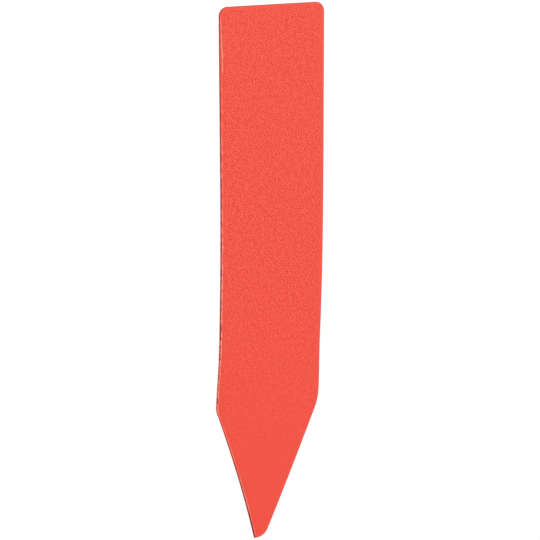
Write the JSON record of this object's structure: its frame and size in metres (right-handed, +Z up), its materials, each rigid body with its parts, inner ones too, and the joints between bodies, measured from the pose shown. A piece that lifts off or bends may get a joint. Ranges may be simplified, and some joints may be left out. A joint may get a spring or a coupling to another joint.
{
  "type": "plant label stake",
  "caption": "Flat plastic plant label with a bare writing panel, rounded top corners and a long point for the soil; the sheet curls back slightly towards the point.",
  "frame": {"origin": "the end of the point that goes into the soil, on the sheet's front surface", "axes": "+Z up the label from its point to its top edge, +Y out of the back, so the writing face looks along -Y, and +X to the right across the front"},
  "size_m": [0.02, 0.0075, 0.0995],
  "materials": {
    "label_plastic": "matt coral red, with a fine pebbled grain on both faces"
  },
  "bodies": {
    "root": {"label_blade": "label_plastic"}
  },
  "joints": []
}
